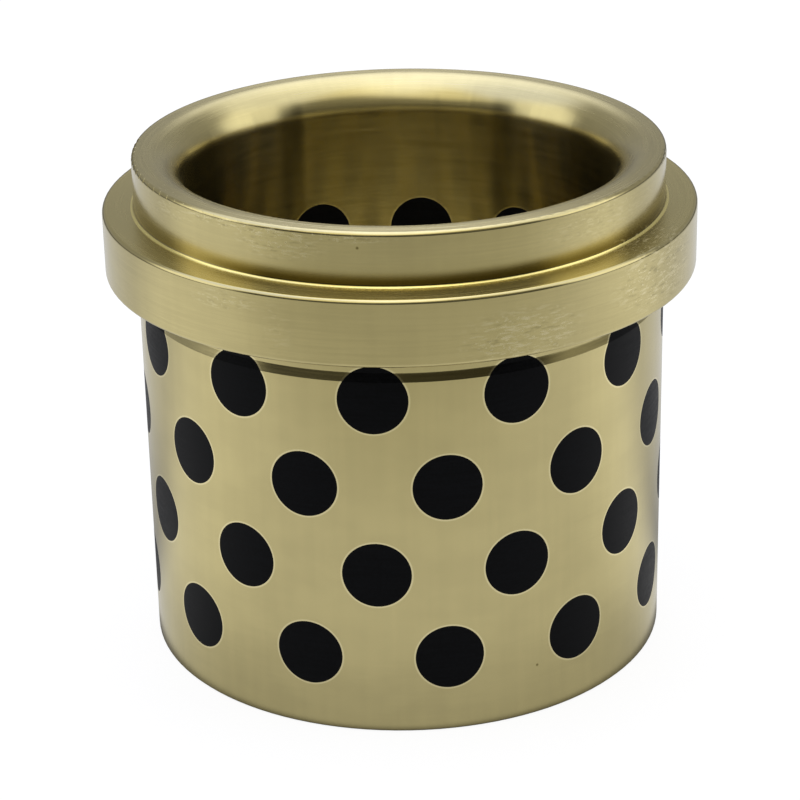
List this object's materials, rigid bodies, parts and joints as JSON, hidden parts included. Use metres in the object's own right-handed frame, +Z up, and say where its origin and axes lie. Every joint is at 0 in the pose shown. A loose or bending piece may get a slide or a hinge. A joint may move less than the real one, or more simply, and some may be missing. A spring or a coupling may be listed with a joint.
{
  "type": "guide bushing",
  "caption": "Flanged bronze guide bushing whose staggered solid-lubricant plugs let a guide post slide in its bore without oil.",
  "frame": {"origin": "on the bore's axis, in the plane of the flange's underside, the face that seats on the plate", "axes": "+Z up the bore, from the shank's end towards the flange and spigot; -Y is the side of the bushing that the picture shows"},
  "size_m": [0.0896, 0.0896, 0.078],
  "materials": {
    "turned_bronze": "satin",
    "solid_lubricant": "satin"
  },
  "bodies": {
    "root": {"bushing_body": "turned_bronze", "plug_row1_01": "solid_lubricant", "plug_row1_02": "solid_lubricant", "plug_row1_03": "solid_lubricant", "plug_row1_04": "solid_lubricant", "plug_row1_05": "solid_lubricant", "plug_row1_06": "solid_lubricant", "plug_row1_07": "solid_lubricant", "plug_row1_08": "solid_lubricant", "plug_row1_09": "solid_lubricant", "plug_row1_10": "solid_lubricant", "plug_row1_11": "solid_lubricant", "plug_row1_12": "solid_lubricant", "plug_row2_01": "solid_lubricant", "plug_row2_02": "solid_lubricant", "plug_row2_03": "solid_lubricant", "plug_row2_04": "solid_lubricant", "plug_row2_05": "solid_lubricant", "plug_row2_06": "solid_lubricant", "plug_row2_07": "solid_lubricant", "plug_row2_08": "solid_lubricant", "plug_row2_09": "solid_lubricant", "plug_row2_10": "solid_lubricant", "plug_row2_11": "solid_lubricant", "plug_row2_12": "solid_lubricant", "plug_row3_01": "solid_lubricant", "plug_row3_02": "solid_lubricant", "plug_row3_03": "solid_lubricant", "plug_row3_04": "solid_lubricant", "plug_row3_05": "solid_lubricant", "plug_row3_06": "solid_lubricant", "plug_row3_07": "solid_lubricant", "plug_row3_08": "solid_lubricant", "plug_row3_09": "solid_lubricant", "plug_row3_10": "solid_lubricant", "plug_row3_11": "solid_lubricant", "plug_row3_12": "solid_lubricant", "plug_row4_01": "solid_lubricant", "plug_row4_02": "solid_lubricant", "plug_row4_03": "solid_lubricant", "plug_row4_04": "solid_lubricant", "plug_row4_05": "solid_lubricant", "plug_row4_06": "solid_lubricant", "plug_row4_07": "solid_lubricant", "plug_row4_08": "solid_lubricant", "plug_row4_09": "solid_lubricant", "plug_row4_10": "solid_lubricant", "plug_row4_11": "solid_lubricant", "plug_row4_12": "solid_lubricant"}
  },
  "joints": []
}
